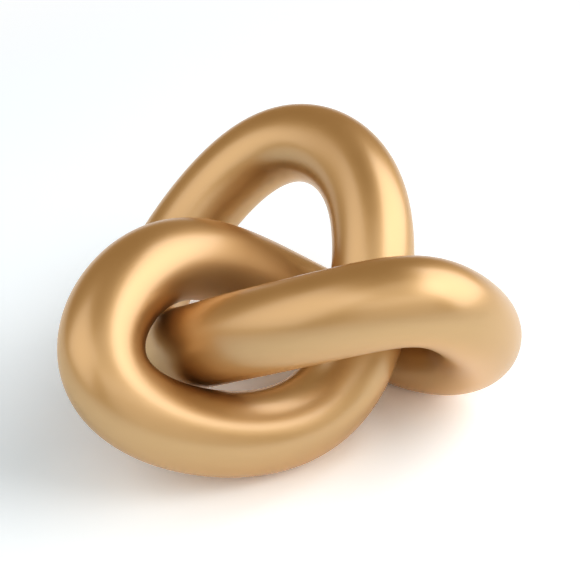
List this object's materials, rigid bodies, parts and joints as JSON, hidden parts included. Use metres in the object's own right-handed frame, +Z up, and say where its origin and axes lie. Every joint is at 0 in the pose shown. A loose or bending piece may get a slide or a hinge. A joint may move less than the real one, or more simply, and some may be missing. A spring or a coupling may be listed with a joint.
{
  "type": "knot sculpture",
  "caption": "Free-standing trefoil knot ornament: one thick round tube in satin gold that closes on itself and rests on small felt pads.",
  "frame": {"origin": "on the table, under the middle of the knot's bounding box", "axes": "+Z up from the table, +Y away from the picture's viewer towards the rear lobe, +X to the viewer's right towards the right lobe"},
  "size_m": [0.2253, 0.2184, 0.1294],
  "materials": {
    "gold_finish": "satin gold lacquer on cast aluminium",
    "gold_weld": "weld ground flush, satin gold lacquer",
    "sleeve_metal": "turned, bare",
    "felt": "dark felt",
    "plug_metal": "turned, bare"
  },
  "bodies": {
    "root": {"rear_loop_bend": "gold_finish", "rear_to_right_run": "gold_finish", "right_loop_bend": "gold_finish", "right_to_front_run": "gold_finish", "front_loop_bend": "gold_finish", "front_to_rear_run": "gold_finish", "rear_upper_weld": "gold_weld", "rear_lower_weld": "gold_weld", "right_upper_weld": "gold_weld", "right_lower_weld": "gold_weld", "front_upper_weld": "gold_weld", "front_lower_weld": "gold_weld", "rear_upper_sleeve": "sleeve_metal", "rear_lower_sleeve": "sleeve_metal", "right_upper_sleeve": "sleeve_metal", "right_lower_sleeve": "sleeve_metal", "front_upper_sleeve": "sleeve_metal", "front_lower_sleeve": "sleeve_metal", "rear_foot_pad": "felt", "right_foot_pad": "felt", "front_foot_pad": "felt", "vent_plug": "plug_metal"}
  },
  "joints": []
}
